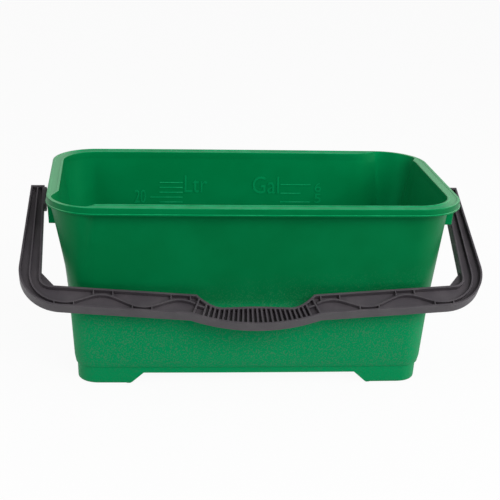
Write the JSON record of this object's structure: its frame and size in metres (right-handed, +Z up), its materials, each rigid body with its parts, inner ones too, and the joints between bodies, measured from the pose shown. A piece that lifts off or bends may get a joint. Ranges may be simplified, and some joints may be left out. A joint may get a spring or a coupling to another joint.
{
  "type": "window cleaning bucket",
  "caption": "Oblong plastic bucket with a hollow rim, corner pouring spouts, feet and a ribbed bail handle hinged at its two ends.",
  "frame": {"origin": "centre of the whole object's box, handle at rest, at the height of the feet's undersides", "axes": "+X along the tub's long side, +Y away from the wall on which the handle rests, +Z up"},
  "size_m": [0.6204, 0.3346, 0.262],
  "materials": {
    "tub_plastic": "green polypropylene, satin above and finely grained below",
    "handle_plastic": "black polypropylene, fine matt grain"
  },
  "bodies": {
    "tub": {"tub": "tub_plastic"},
    "bail_handle": {"bail_handle": "handle_plastic"}
  },
  "joints": [
    {"name": "bail_swing", "type": "hinge", "parent": "tub", "child": "bail_handle", "pos_m": [0, 0.01319, 0.228], "axis": [-1, 0, 0], "range_deg": [0, 248.2]}
  ]
}
